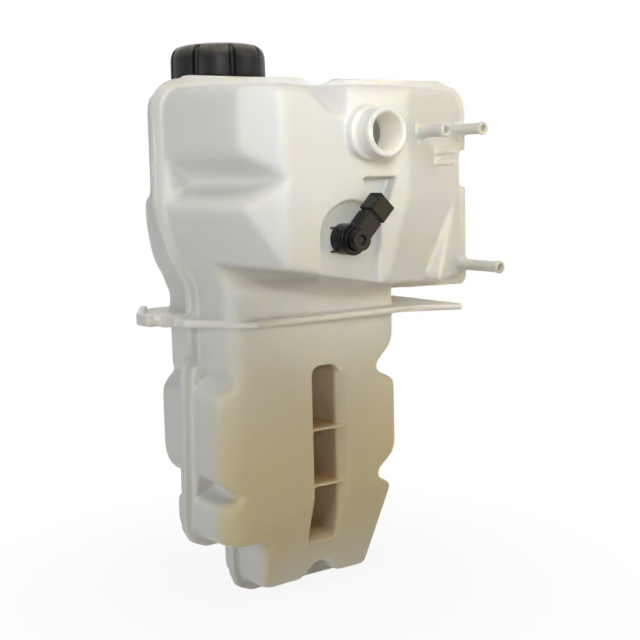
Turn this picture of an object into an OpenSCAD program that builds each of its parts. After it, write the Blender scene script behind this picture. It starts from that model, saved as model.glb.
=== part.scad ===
// Coolant expansion tank of a heavy truck: two welded half shells, a screw cap
// with pressure and vacuum valves, and a float type level sensor.
// +X runs along the front, -Y is the front and the way the front half leaves its
// mould, +Z is up. The origin lies on the weld plane, at the underside of the
// mounting plate, midway across the leg.

/* [Walls and weld] */
// Thickness of the moulded walls
wall = 4; // [3:0.5:5]
// How far the weld flange stands out of the wall
flange_w = 9; // [6:0.5:11]
// Thickness of each half of the weld flange
flange_t = 4; // [3:0.5:5]

/* [Head] */
// Left wall of the head on the weld plane, from the middle of the leg
head_left = 124; // [120:1:132]
// Right wall of the head on the weld plane, from the middle of the leg
head_right = 236; // [228:1:250]
// Top of the head above the plate's underside
head_top = 219; // [214:1:230]
// Depth of the front half of the head
head_front = 150; // [146:1:160]
// Depth of the back half of the head
head_back = 78; // [76:1:90]
// Radius of the two upper corners
head_corner_r = 22; // [12:1:28]

/* [Leg] */
// Half width of the leg
leg_half = 107; // [104:1:112]
// Depth of the front half of the leg
leg_front = 60; // [56:1:66]
// Depth of the back half of the leg
leg_back = 70; // [66:1:74]
// Length of the leg below the plate's underside
leg_length = 263; // [258:1:280]
// Width of the slot in the leg's front
slot_w = 31; // [26:1:36]
// Thickness of the two ribs in the slot
rib_t = 3; // [2:0.5:5]

/* [Mounting plate] */
// Thickness of the mounting plate
plate_t = 6; // [4:0.5:8]
// Front edge of the plate, from the weld plane
plate_front = 71; // [69:1:80]
// Back edge of the plate, from the weld plane
plate_back = 105; // [95:1:115]
// Right edge of the plate, from the middle of the leg
plate_right = 152; // [144:1:165]

/* [Hose ports] */
// Outer radius of the large port's tube
port_r = 20.5; // [19:0.5:23]
// Bore radius of the large port
port_bore_r = 16.5; // [14:0.5:17]
// Length of the large port in front of the head
port_len = 31; // [26:1:40]
// Outer radius of the small stubs
stub_r = 6; // [5.5:0.1:6.5]
// Bore radius of the small stubs
stub_bore_r = 3.8; // [3:0.1:4.2]

/* [Filler neck and cap] */
// Bore radius of the filler neck
neck_bore_r = 27; // [26:0.5:28]
// Outer radius of the filler neck
neck_r = 32; // [31:0.5:33]
// How far the neck's thread stands out of the neck
thread_depth = 3; // [2:0.1:4]
// Rise of the cap in one turn
thread_lead = 6; // [4:0.5:8]
// Outer radius of the cap over its lands
cap_r = 46; // [44:0.5:50]
// Height of the cap
cap_h = 33.5; // [33:0.5:40]
// Number of grip grooves round the cap
cap_grooves = 8; // [6:1:12]

/* [Level sensor] */
// Radius of the sensor's barrel
barrel_r = 9.4; // [8.5:0.1:10]
// Angle of the connector arm above the horizontal
arm_angle = 45; // [30:1:60]
// Length of the connector arm from the sensor's axis
arm_len = 46; // [42:1:54]
// Radius of the float
float_r = 8; // [6:0.1:8.4]
// Droop of the float when the tank is empty
float_droop = 35; // [20:1:36]

/* [Hidden] */
$fn = 64;

soft_fn = 24;
cut = 1;
ivory = [0.90, 0.88, 0.80];
black = [0.10, 0.10, 0.11];
rubber = [0.06, 0.06, 0.06];
steel = [0.72, 0.73, 0.74];
amber = [0.85, 0.55, 0.15];

// Head: its bevels, the slanted wall to the right and the lines of its underside
draft = 8;
head_bevel = 28;
front_right = 45;
seam_land = 8;
groove_z = 134;
facet_z = 108;
ridge_z = 118;

// Leg: heights where its outline steps, and its corners
neck_left = -95;
shelf_z = -38;
notch_up_z = -48;
notch_low_z = -156;
notch_dip = 6;
foot_z = -208;
foot_left = -58;
break_z = -172;
foot_front = 35;
foot_back = 32;
leg_top = 38;
arch_r = 17;
arch_x = 17;

// Slot in the leg: left edge, top, bottom and the two rib heights
slot_x = -4;
slot_top = -45;
slot_end = -213;
slot_back = 12;
bevel_w = 11;
bevel_d = 8;
rib_z = [-106, -161];

// Depth of the slanted right wall at a given place
function slant_y(x) = head_front - (x - front_right) * (head_front - 4) / (head_right - front_right);

// Large port and stubs: x and z, depth of the root and of the tip
port_x = -2.5;
port_z = head_top - 46.5;
port_tip = head_front + port_len;
stub_a = [71, head_top - 45, slant_y(71), slant_y(71) + 42];
stub_b = [head_right - 10, head_top - 39.5, slant_y(head_right - 10), slant_y(head_right - 10) + 43];
stub_c = [head_right - 10, 35.5, slant_y(head_right - 10), slant_y(head_right - 10) + 67];
bead_h = 0.85;
port_bead_h = 1.2;
clip_x = 134;
clip_z = head_top - 69;

// Filler neck and cap, from the neck's top
neck_x = -37;
neck_y = 40;
thread_r = neck_r + thread_depth;
cap_z = head_top + 12;
cap_top = cap_z + cap_h;
neck_top = cap_top - 11;
cap_gap = 0.4;
gasket_t = 1.5;
flange_z = neck_top + gasket_t;
ceiling_z = flange_z + 2.2;
collar_top = ceiling_z + 3;
well_r = 21.5;
housing_r = neck_bore_r - 0.6;
seat_z = neck_top - 22.5;
seal_t = 1.6;
plate_low = seat_z + seal_t;
plate_high = plate_low + 2.2;
spring_top = flange_z - 0.2;
oring_z = neck_top - 17;

// Level sensor: its axis and the depths of its faces
sensor_x = -26.5;
sensor_z = 81.5;
pad_r = 33;
pad_y = head_front - 7;
boss_r = barrel_r + 2.2;
bung_r = barrel_r + 0.2;
skirt_r = boss_r + 2.2;
sensor_face = pad_y + 18;
sensor_nose = pad_y + 29;
clip_y = pad_y + 5;
clip_off = boss_r - 1.4;
clip_wire_r = 1;
arm_y = head_front + 9.5;
hinge_y = pad_y - 39;
oring_y = pad_y - 5;
groove_d = 1.6;

// Extrudes a front view outline towards the front, between two depths
module to_front(depth, start = 0) {
    rotate([90, 0, 0]) translate([0, 0, start]) linear_extrude(depth - start) children();
}

module to_back(depth, start = 0) {
    mirror([0, 1, 0]) to_front(depth, start) children();
}

// Extrudes a side view outline, given as depth and height, along X
module along_x() {
    rotate([90, 0, 90]) translate([0, 0, -200]) linear_extrude(500) children();
}

// Everything in front of an upright plane through the origin
module front_space() {
    translate([-300, -200, -300]) cube([600, 200, 600]);
}

// Rounds the corners of an outline after pulling it in by an inset
module softened(r, inset) {
    offset(r = r, $fn = soft_fn) offset(delta = -r - inset) children();
}

// Cylinder along Y between two depths in front of the weld plane
module rod_y(x, z, r, near, far) {
    translate([x, -near, z]) rotate([90, 0, 0]) cylinder(r = r, h = far - near);
}

// Head and leg outlines on the weld plane, without the notches
module head_outline() {
    intersection() {
        softened(head_corner_r, 0)
            polygon([[-head_left, head_top], [-head_left - 1.5, 112], [-head_left - 1.5, -60],
                     [head_right, -60], [head_right, head_top]]);
        polygon([[-head_left - 5, head_top + 5], [-head_left - 5, 112], [-head_left - 1.5, 112],
                 [-head_left + 3, 90], [-head_left + 11, 66], [-head_left + 26, 42],
                 [neck_left, 30], [leg_half, 26], [168, 23], [head_right + 5, 21],
                 [head_right + 5, head_top + 5]]);
    }
}

module leg_outline() {
    polygon([[neck_left, leg_top], [neck_left, shelf_z], [-leg_half + 5, shelf_z - 2],
             [-leg_half + 3, notch_up_z - 4], [-leg_half - 1.5, foot_z + 14],
             [-leg_half + 4, foot_z + 4.5], [-leg_half + 15, foot_z], [foot_left, foot_z],
             [foot_left, -leg_length + 15], [foot_left + 4, -leg_length + 4.5],
             [foot_left + 15, -leg_length], [leg_half - 32, -leg_length],
             [leg_half - 13, break_z - 2], [leg_half + 3, -148], [leg_half, -70],
             [leg_half - 1, -30], [leg_half - 1, leg_top]]);
}

// Underside of the head in front of the neck, falling to the right
module head_floor(grow) {
    translate([0, grow])
        polygon([[-200, 66], [-109, 60], [-67, 54], [front_right, 34], [168, 23],
                 [head_right + 20, 20], [head_right + 20, -100], [-200, -100]]);
}

// Plan of the front half of the head
module head_plan() {
    polygon([[-head_left - 2, 60], [-head_left - 2, 0],
             [-head_left + draft, -head_front + head_bevel],
             [-head_left + draft + head_bevel, -head_front], [front_right, -head_front],
             [head_right, -4], [head_right + 4, 0], [head_right + 4, 60]]);
}

module head_front_form(inset) {
    difference() {
        intersection() {
            to_front(head_front + 5, -cut) offset(delta = -inset) head_outline();
            translate([0, 0, -20]) linear_extrude(head_top + 40) softened(15, inset) head_plan();
            along_x() softened(14, inset)
                polygon([[40, -60], [-head_front, -60], [-head_front, head_top - 5],
                         [-20, head_top + 1], [40, head_top + 1]]);
        }
        to_front(head_front + 10, leg_front - 10 - inset) head_floor(inset);
    }
}

// Vee groove round the left side of the head
module head_groove(grow) {
    translate([-head_left + 26, -seam_land + grow, groove_z]) rotate([0, 0, 5.7])
        rotate([90, 0, 0]) linear_extrude(head_front + 30) softened(4, -grow)
            polygon([[0, 0], [-60, 46], [-60, -45]]);
}

// Lower left of the head: its side leans in more towards the front
module head_taper(grow) {
    translate([-head_left + 11, 0, 66]) rotate([0, 0, 8.2]) to_front(head_front + 50, -20)
        offset(delta = grow) polygon([[0, 0], [-30, 66], [-80, 66], [-80, -90], [41, -90]]);
}

// Dip in the top between the left block and the pod of the large port
module head_valley(grow) {
    translate([0, -head_front, head_top - 29]) rotate([30, 0, 0]) rotate([90, 0, 0])
        translate([0, 0, -120]) linear_extrude(180) offset(delta = grow)
            polygon([[-39, -2], [-72, 25], [-72, 60], [-12, 60], [-16, 26], [-24, -2]]);
}

// Raised land beside the weld that carries the return stub
module return_land(grow) {
    to_front(head_front, -cut) offset(delta = -grow)
        polygon([[head_right + 9, 10], [148, 10], [152, 33], [227, ridge_z], [head_right + 9, ridge_z]]);
}

// Facet that thins the lower right of the head
module head_facet(grow) {
    difference() {
        translate([front_right - 1, -head_front + grow, facet_z]) rotate([13.4, 0, 37.6]) front_space();
        return_land(grow);
    }
}

// Arch shaped pad that carries the level sensor
module sensor_pad(grow) {
    to_front(head_front + cut, pad_y - grow) offset(delta = grow) {
        translate([sensor_x + 5.5, sensor_z]) circle(pad_r, $fn = 48);
        translate([sensor_x + 5.5 - pad_r, 20]) square([2 * pad_r - 4, sensor_z - 20]);
    }
}

// Pocket between the large port and the sensor
module head_pocket(grow) {
    to_front(head_front + cut, head_front - 14 - grow) offset(delta = grow)
        polygon([[-8, 134], [31.5, 134], [22, 112.5], [4, 112.5]]);
}

// Upright blocks with rounded front corners that make up the leg
module leg_block(low, high, left, right, r, front, inset) {
    translate([0, 0, low]) linear_extrude(high - low) softened(r, inset)
        polygon([[left, 80], [left, 0], [left + 3.5, -front], [right - 3.5, -front], [right, 0],
                 [right, 80]]);
}

module leg_blocks(front, inset) {
    leg_block(notch_up_z, leg_top, neck_left, leg_half - 1, 18, front, inset);
    leg_block(notch_up_z - 20, shelf_z - inset, -leg_half - 1.5, 0, 2, seam_land, inset);
    leg_block(foot_z, notch_up_z + 1, -leg_half - 1.5, leg_half + 3, 24, front, inset);
    leg_block(-leg_length - 10, foot_z + inset + 0.01, foot_left, leg_half, 20, front, inset);
}

// Slanted lower front of two planes: one falls from the break, the other starts
// lower towards the left
module foot_slant(grow) {
    slope = atan((leg_front - foot_front) / (leg_length + break_z));
    intersection() {
        translate([slot_x, -leg_front + grow, break_z]) rotate([slope, 0, 0]) front_space();
        translate([slot_x, -leg_front + grow, break_z - 2]) rotate([slope + 1.7, 0, 6.9]) front_space();
    }
}

// Side notch with its flat bottom at x, falling towards the front; side is -1 on
// the left and 1 on the right
module vee(x, z, flat, up, down, side, grow) {
    translate([x, -seam_land + grow, z]) rotate([notch_dip, 0, 0]) rotate([90, 0, 0])
        linear_extrude(leg_front + leg_back) softened(3, -grow)
            polygon([[0, flat / 2], [side * 45, flat / 2 + up], [side * 45, -flat / 2 - down],
                     [0, -flat / 2]]);
}

module leg_notches(grow) {
    vee(-leg_half + 22, notch_up_z + 1, 0.1, 31, 34, -1, grow);
    vee(-leg_half + 26, notch_low_z, 0.1, 29, 20, -1, grow);
    vee(leg_half - 31, notch_up_z - 1, 8, 36, 20, 1, grow);
    vee(leg_half - 31, notch_low_z - 2, 9, 27, 20, 1, grow);
}

// Groove across the bottom, with flared lips
module bottom_arch(grow) {
    rod_y(arch_x, -leg_length, arch_r + grow, -leg_back - 20, leg_front + 20);
    translate([0, leg_back + 20, 0]) to_front(leg_front + leg_back + 40) offset(delta = grow)
        polygon([[arch_x - arch_r - 5, -leg_length - 1], [arch_x - 11, -leg_length + 11],
                 [arch_x + 11, -leg_length + 11], [arch_x + arch_r + 5, -leg_length - 1]]);
}

module leg_front_form(inset) {
    difference() {
        intersection() {
            to_front(leg_front + 5, -cut) offset(delta = -inset) leg_outline();
            leg_blocks(leg_front, inset);
        }
        foot_slant(inset);
        leg_notches(inset);
        bottom_arch(inset);
    }
}

// Deep slot in the leg's front, with a ledge at its lower end
module leg_slot(grow) {
    intersection() {
        to_front(leg_front + 10, slot_back - grow) offset(delta = grow)
            softened(9, 0) translate([slot_x, slot_end - 12]) square([slot_w, slot_top - slot_end + 12]);
        along_x() offset(delta = grow)
            polygon([[-slot_back, 0], [-slot_back, slot_end + 5], [-slot_back - 12, slot_end],
                     [-leg_front + 20, slot_end - 4], [-leg_front + 8, slot_end - 14],
                     [-leg_front - 20, slot_end - 14], [-leg_front - 20, 0]]);
    }
}

// Wide bevel along the slot's right edge
module slot_bevel(grow) {
    right = slot_x + slot_w;
    translate([0, 0, slot_end]) linear_extrude(slot_top - slot_end - 8) offset(delta = grow)
        polygon([[right - 1, -leg_front - 5], [right - 1, -leg_front + bevel_d],
                 [right, -leg_front + bevel_d], [right + bevel_w, -leg_front],
                 [right + bevel_w + 6, -leg_front - 5]]);
}

module slot_ribs() {
    for (z = rib_z)
        translate([slot_x - 1, -leg_front + 1.5, z - rib_t])
            cube([slot_w + bevel_w, leg_front - slot_back, rib_t]);
}

module weld_flange() {
    difference() {
        offset(r = flange_w, $fn = soft_fn) {
            head_outline();
            leg_outline();
            translate([-head_left + 30, head_top - 20])
                square([head_left + head_right - 60, 23]);
        }
        polygon([[27, head_top + 20], [34, head_top + 10], [43, head_top + 6], [57, head_top + 6],
                 [70, head_top + 10], [82, head_top + 20]]);
        offset(delta = -2) {
            head_outline();
            leg_outline();
        }
        softened(6, 0) translate([head_right, ridge_z]) square([flange_w + 15, 40]);
    }
}

// Hose stub with an end bead, and gussets at its root
module stub(place) {
    rod_y(place[0], place[1], stub_r, place[2] - 10, place[3]);
    rod_y(place[0], place[1], stub_r + bead_h, place[3] - 5, place[3] - 1.5);
    for (a = [45, 180, 300])
        translate([place[0], -place[2], place[1]]) rotate([0, -a, 0]) rotate([90, 0, 90])
            translate([0, 0, -1.2]) linear_extrude(2.4)
                polygon([[8, 0], [8, stub_r + 9], [0, stub_r + 8], [-15, stub_r - 0.5], [-15, 0]]);
}

module stub_bore(place) {
    rod_y(place[0], place[1], stub_bore_r, place[2] - 14, place[3] + cut);
}

// Two pronged clip for a hose or a lead
module harness_clip() {
    base = slant_y(clip_x);
    for (side = [-1, 1])
        translate([clip_x - 4, 0, clip_z + side * 5.4]) rotate([90, 0, 90]) linear_extrude(8)
            softened(2.6, 0) translate([-base - 30, -2.9]) square([38, 5.8]);
    translate([clip_x - 5, -base - 4, clip_z - 8.5]) cube([10, 10, 17]);
}

module plate_front_half() {
    linear_extrude(plate_t)
        polygon([[-119, 0], [-119, -20], [-84, -60], [-72, -plate_front], [95, -plate_front - 5],
                 [plate_right - 4, -104], [plate_right, -98], [plate_right, 0]]);
    linear_extrude(plate_t + 1.5)
        polygon([[-119, -6], [-119, -20], [-88, -55], [-84, -51], [-113, -18], [-113, -6]]);
    linear_extrude(plate_t + 5)
        polygon([[-131, 0], [-131, -5], [-104, -5], [-104, 0]]);
}

module plate_back_half() {
    difference() {
        union() {
            linear_extrude(plate_t)
                polygon([[-131, 0], [-134, 6], [-141, 10], [-141, 32], [-110, 84], [-90, plate_back],
                         [plate_right - 12, plate_back], [plate_right, plate_back - 12],
                         [plate_right, 0]]);
            linear_extrude(plate_t + 6) difference() {
                polygon([[-134, 8], [-141, 12], [-141, 32], [-110, 84], [-104, 80], [-134, 32]]);
                translate([-133, 20]) circle(3, $fn = 48);
            }
            linear_extrude(plate_t + 5)
                polygon([[-131, 0], [-131, 4], [-104, 4], [-104, 0]]);
        }
        translate([-150, 5, -cut]) cube([22, 3, 20]);
    }
}

// Inner wall that stiffens the head, with holes that let the coolant through
module baffle() {
    difference() {
        translate([70, -head_front, -20]) cube([3, head_front + head_back, head_top + 10]);
        for (y = [-85, -30, 35])
            translate([60, y, 80]) rotate([0, 90, 0]) cylinder(r = 12, h = 30);
        for (y = [-85, -30, 35])
            translate([60, y, 185]) rotate([0, 90, 0]) cylinder(r = 9, h = 30);
    }
}

// Room inside the front half; the recesses keep a wall round them
module front_cavity() {
    difference() {
        union() {
            difference() {
                head_front_form(wall);
                head_groove(wall);
                head_taper(wall);
                head_valley(wall);
                head_facet(wall);
                sensor_pad(wall);
                head_pocket(wall);
            }
            leg_front_form(wall);
        }
        leg_slot(wall);
        slot_bevel(wall);
        baffle();
    }
}

module front_shell() {
    color(ivory) difference() {
        union() {
            difference() {
                union() {
                    difference() {
                        head_front_form(0);
                        head_groove(0);
                        head_taper(0);
                        head_valley(0);
                        head_facet(0);
                        sensor_pad(0);
                        head_pocket(0);
                    }
                    leg_front_form(0);
                    to_front(flange_t) weld_flange();
                    plate_front_half();
                    rod_y(port_x, port_z, port_r, head_front - 20, port_tip);
                    rod_y(port_x, port_z, port_r + port_bead_h, port_tip - 6, port_tip);
                    rod_y(port_x, port_z, port_r + 3.5, head_front - 10, port_tip - 21);
                    stub(stub_a);
                    stub(stub_b);
                    stub(stub_c);
                    harness_clip();
                }
                front_cavity();
                difference() {
                    union() {
                        leg_slot(0);
                        slot_bevel(0);
                    }
                    slot_ribs();
                }
            }
            rod_y(sensor_x, sensor_z, boss_r, pad_y - 11, pad_y + 9);
            rod_y(-34, -135, 3.4, leg_front - 3, leg_front + 0.8);
        }
        rod_y(port_x, port_z, port_bore_r, head_front - 30, port_tip + cut);
        rod_y(sensor_x, sensor_z, bung_r, pad_y - 20, pad_y + 20);
        clip_legs(clip_wire_r + 0.15, 40);
        stub_bore(stub_a);
        stub_bore(stub_b);
        stub_bore(stub_c);
        translate([-400, 0, -400]) cube([800, 100, 800]);
    }
}

// Back half of the head: the upper left bevel is larger than the lower one
module head_back_plan(low, high, bevel, inset) {
    translate([0, 0, low]) linear_extrude(high - low) softened(14, inset)
        polygon([[-head_left - 2, -60], [-head_left - 1, 0], [-head_left + 1, head_back - bevel],
                 [-head_left + 1 + bevel, head_back], [head_right - 60, head_back],
                 [head_right - 3, 22], [head_right + 1, 0], [head_right + 2, -60]]);
}

module head_back_form(inset) {
    intersection() {
        to_back(head_back + 5, -cut) offset(delta = -inset) head_outline();
        union() {
            head_back_plan(-20, 120 - inset, 36, inset);
            head_back_plan(-20, head_top + 10, 48, inset);
        }
        along_x() softened(9, inset)
            polygon([[-40, head_top + 1], [head_back, head_top - 3], [head_back, 70],
                     [leg_back - 8, 52], [leg_back - 8, -60], [-40, -60]]);
    }
}

module leg_back_form(inset) {
    difference() {
        intersection() {
            to_back(leg_back + 5, -cut) offset(delta = -inset) leg_outline();
            mirror([0, 1, 0]) leg_blocks(leg_back, inset);
            along_x() softened(4, inset)
                polygon([[-40, leg_top + 30], [leg_back - 8, leg_top + 30], [leg_back - 8, notch_up_z],
                         [leg_back, notch_up_z - 10], [leg_back, notch_low_z + 30],
                         [foot_back, notch_low_z + 4], [foot_back, -leg_length - 40],
                         [-40, -leg_length - 40]]);
        }
        mirror([0, 1, 0]) leg_notches(inset);
        bottom_arch(inset);
    }
}

module back_shell() {
    color(ivory) difference() {
        union() {
            head_back_form(0);
            leg_back_form(0);
            to_back(flange_t) weld_flange();
            plate_back_half();
            filler_neck();
        }
        difference() {
            union() {
                head_back_form(wall);
                leg_back_form(wall);
            }
            baffle();
        }
        translate([neck_x, neck_y, head_top - 20]) cylinder(r = neck_bore_r, h = 80);
        translate([-400, -100, -400]) cube([800, 100, 800]);
    }
}

// Filler neck; its thread is drawn as two closed crests
module filler_neck() {
    translate([neck_x, neck_y, 0]) {
        translate([0, 0, head_top - 8]) cylinder(r = neck_r, h = neck_top - head_top + 8);
        translate([0, 0, head_top - 8]) cylinder(r = neck_r + 4, h = 12);
        for (turn = [0, 1])
            translate([0, 0, neck_top - 7 - turn * thread_lead]) rotate_extrude()
                polygon([[neck_r - 1, -2], [thread_r, -0.7], [thread_r, 0.7], [neck_r - 1, 2]]);
    }
}

// Cap: ribbed grip whose inner lip holds the valve housing by its collar
module cap_grip() {
    color(black) translate([neck_x, neck_y, 0]) difference() {
        translate([0, 0, cap_z]) rotate_extrude()
            polygon([[0, 0], [cap_r, 0], [cap_r - 0.6, cap_h - 13], [cap_r - 2.6, cap_h - 7.5],
                     [cap_r - 7.5, cap_h - 3.2], [cap_r - 15, cap_h - 1.2], [cap_r - 26, cap_h],
                     [0, cap_h]]);
        for (i = [0:cap_grooves - 1])
            rotate([0, 0, i * 360 / cap_grooves + 32]) translate([cap_r + 2, 0, cap_z - cut])
                cylinder(r = 3.6, h = cap_h + 2);
        rotate_extrude()
            polygon([[0, cap_z - cut], [thread_r + cap_gap, cap_z - cut],
                     [thread_r + cap_gap, ceiling_z], [well_r + 2.8, ceiling_z],
                     [well_r + 2.8, ceiling_z + 1], [well_r + 4.5, ceiling_z + 1],
                     [well_r + 4.5, collar_top + 0.4], [0, collar_top + 0.4]]);
    }
}

// Valve housing: a plug that hangs from the cap into the neck
module valve_housing() {
    color(black) translate([neck_x, neck_y, 0]) difference() {
        union() {
            translate([0, 0, flange_z]) cylinder(r = neck_r + 1.5, h = 2);
            translate([0, 0, seat_z - 3.5]) cylinder(r = housing_r, h = flange_z - seat_z + 4);
            translate([0, 0, flange_z]) cylinder(r = well_r + 2, h = collar_top - flange_z);
            translate([0, 0, ceiling_z + 1.4]) cylinder(r = well_r + 3.4, h = collar_top - ceiling_z - 1.4);
        }
        translate([0, 0, seat_z]) cylinder(r = well_r, h = 60);
        translate([0, 0, seat_z - 10]) cylinder(r = 13, h = 20);
        translate([0, 0, spring_top - 0.1]) cylinder(r = well_r + 0.9, h = 2.4);
        translate([0, 0, oring_z - 1.6]) difference() {
            cylinder(r = housing_r + 5, h = 3.2);
            translate([0, 0, -cut]) cylinder(r = neck_bore_r - 2.3, h = 6);
        }
    }
}

module housing_oring() {
    color(rubber) translate([neck_x, neck_y, oring_z]) rotate_extrude()
        translate([neck_bore_r - 1.15, 0]) circle(1.13, $fn = 32);
}

module neck_gasket() {
    color(rubber) translate([neck_x, neck_y, neck_top]) difference() {
        cylinder(r = neck_r - 0.4, h = gasket_t);
        translate([0, 0, -cut]) cylinder(r = neck_bore_r + 0.2, h = 4);
    }
}

// Disc snapped into the housing's groove; the pressure spring pushes against it
module spring_plate() {
    color(black) translate([neck_x, neck_y, spring_top]) difference() {
        cylinder(r = well_r + 0.8, h = 2.2);
        for (a = [0:60:300])
            rotate([0, 0, a]) translate([11, 0, -cut]) cylinder(r = 2.2, h = 5);
        translate([0, 0, -cut]) cylinder(r = 4.5, h = 5);
    }
}

// Coil of round wire between two heights
module coil(r, wire, z0, z1, turns, steps, sides) {
    count = turns * steps;
    points = [for (i = [0:count]) for (k = [0:sides - 1])
        let (a = 360 * i / steps, b = 360 * k / sides, reach = r + wire * cos(b))
            [reach * cos(a), reach * sin(a), z0 + wire + (z1 - z0 - 2 * wire) * i / count + wire * sin(b)]];
    faces = [for (i = [0:count - 1]) for (k = [0:sides - 1])
        let (n = (k + 1) % sides)
            [i * sides + k, i * sides + n, (i + 1) * sides + n, (i + 1) * sides + k]];
    ends = [[for (k = [sides - 1:-1:0]) k], [for (k = [0:sides - 1]) count * sides + k]];
    polyhedron(points, concat(faces, ends));
}

module pressure_spring() {
    color(steel) translate([neck_x, neck_y, 0]) coil(15, 1, plate_high, spring_top, 4, 20, 8);
}

// Pressure valve plate with the seal under it
module pressure_plate() {
    color(steel) translate([neck_x, neck_y, plate_low]) difference() {
        union() {
            cylinder(r = 17.5, h = 2.2);
            cylinder(r = 9, h = 4.2);
        }
        translate([0, 0, -cut]) cylinder(r = 4.2, h = 8);
    }
}

module pressure_seal() {
    color(rubber) translate([neck_x, neck_y, seat_z]) difference() {
        cylinder(r = 17, h = seal_t);
        translate([0, 0, -cut]) cylinder(r = 6, h = 4);
    }
}

// Vacuum valve: a poppet under the seal, pulled up by a light spring on its stem
module vacuum_poppet() {
    color(steel) translate([neck_x, neck_y, 0]) {
        translate([0, 0, seat_z - 2]) cylinder(r = 9, h = 2);
        translate([0, 0, seat_z - 1]) cylinder(r = 1.8, h = 17);
    }
}

module vacuum_clip() {
    color(steel) translate([neck_x, neck_y, seat_z + 14]) difference() {
        cylinder(r = 4, h = 1.2);
        translate([0, 0, -cut]) cylinder(r = 1.8, h = 4);
    }
}

module vacuum_spring() {
    color(steel) translate([neck_x, neck_y, 0])
        coil(3.1, 0.5, plate_low + 4.2, seat_z + 14, 5, 12, 6);
}

// Level sensor: skirt over the bung, nose, barrel with hinge ears, connector arm
module sensor_housing() {
    color(black) difference() {
        union() {
            rod_y(sensor_x, sensor_z, skirt_r, pad_y + 0.3, sensor_face);
            rod_y(sensor_x, sensor_z, 9.6, sensor_face - 1, sensor_nose);
            connector_arm();
        }
        rod_y(sensor_x, sensor_z, boss_r + 0.2, pad_y - cut, pad_y + 9.5);
        rod_y(sensor_x, sensor_z, 4, sensor_nose - 2, sensor_nose + cut);
        clip_legs(clip_wire_r + 0.15, 40);
        socket_cut();
    }
    color(black) difference() {
        rod_y(sensor_x, sensor_z, barrel_r, hinge_y + 6, pad_y + 12);
        rod_y(sensor_x, sensor_z, 3.4, hinge_y + 10, pad_y + 8);
        translate([sensor_x, -oring_y, sensor_z]) rotate([90, 0, 0]) rotate_extrude()
            translate([barrel_r - groove_d, -1.2]) square([4, 2.4]);
        clip_legs(clip_wire_r + 0.15, 40);
    }
    color(black) difference() {
        for (side = [-1, 1])
            translate([sensor_x + side * 5.6 - 1.6, -hinge_y - 9, sensor_z - 3.5]) cube([3.2, 12, 7]);
        translate([sensor_x - 20, -hinge_y, sensor_z]) rotate([0, 90, 0]) cylinder(r = 1.55, h = 40);
    }
}

module arm_frame() {
    translate([sensor_x, -arm_y, sensor_z]) rotate([0, -arm_angle, 0]) children();
}

module connector_arm() {
    arm_frame() {
        translate([6, -8, -9]) cube([arm_len - 26, 15, 18]);
        translate([6, -7, -8]) cube([arm_len - 20, 13, 16]);
        translate([arm_len - 18, -8.2, -10]) cube([18, 16.4, 20]);
    }
}

module socket_cut() {
    arm_frame() difference() {
        translate([arm_len - 13, -6, -7.6]) cube([15, 12, 15.2]);
        translate([arm_len - 14, -3, -5]) cube([11, 6, 10]);
    }
}

module terminal(side) {
    color(steel) arm_frame() translate([arm_len - 3, -0.8, side * 2.4 - 0.5]) cube([2.4, 1.6, 1]);
}

module terminal_left() {
    terminal(-1);
}

module terminal_right() {
    terminal(1);
}

module sensor_oring() {
    color(rubber) translate([sensor_x, -oring_y, sensor_z]) rotate([90, 0, 0]) rotate_extrude()
        translate([bung_r - 0.88, 0]) circle(0.85, $fn = 32);
}

module clip_legs(r, reach) {
    for (side = [-1, 1])
        translate([sensor_x - 15.6, -clip_y, sensor_z + side * clip_off])
            rotate([0, 90, 0]) cylinder(r = r, h = reach, $fn = 32);
}

// Wire clip: two straight legs joined by a bend at the right
module sensor_clip() {
    color(black) {
        clip_legs(clip_wire_r, 31.6);
        translate([sensor_x + 16, -clip_y, sensor_z]) rotate([90, 0, 0]) rotate([0, 0, -90])
            rotate_extrude(angle = 180, $fn = 64) translate([clip_off, 0])
                circle(clip_wire_r, $fn = 32);
    }
}

module reed_switch() {
    color(steel) rod_y(sensor_x, sensor_z, 3.4, hinge_y + 10, pad_y - 12);
}

// Float on its arm, drooping from the hinge when the tank is empty
module float_frame() {
    translate([sensor_x, -hinge_y, sensor_z]) rotate([-float_droop, 0, 0]) children();
}

module float_arm() {
    color(amber) float_frame() difference() {
        union() {
            translate([0, 8, 0]) rotate([-90, 0, 0]) cylinder(r = float_r, h = 30);
            translate([-3.6, -3, -3]) cube([7.2, 14, 6]);
        }
        translate([-20, 0, 0]) rotate([0, 90, 0]) cylinder(r = 1.55, h = 40);
        translate([0, 32, 0]) rotate([-90, 0, 0]) cylinder(r = 3, h = 10);
    }
}

module float_magnet() {
    color(steel) float_frame() translate([0, 32, 0]) rotate([-90, 0, 0]) cylinder(r = 3, h = 5.8);
}

module float_pin() {
    color(steel) translate([sensor_x - 7.2, -hinge_y, sensor_z]) rotate([0, 90, 0])
        cylinder(r = 1.5, h = 14.4);
}

front_shell();
back_shell();
cap_grip();
valve_housing();
housing_oring();
neck_gasket();
spring_plate();
pressure_spring();
pressure_plate();
pressure_seal();
vacuum_poppet();
vacuum_clip();
vacuum_spring();
sensor_housing();
sensor_oring();
sensor_clip();
terminal_left();
terminal_right();
reed_switch();
float_arm();
float_magnet();
float_pin();
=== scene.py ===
# %% [markdown]
# # Coolant expansion tank
# The welded plastic tank of a heavy truck's cooling system, with its screw cap and its level
# sensor. The CAD frame gives every place. This script adds the looks: moulded edges, the cap's
# lands, the springs' wire, the materials and the light.

# %%
# Setup
import math
import bmesh
import bpy
import numpy as np
from mathutils import Matrix, Vector


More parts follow.
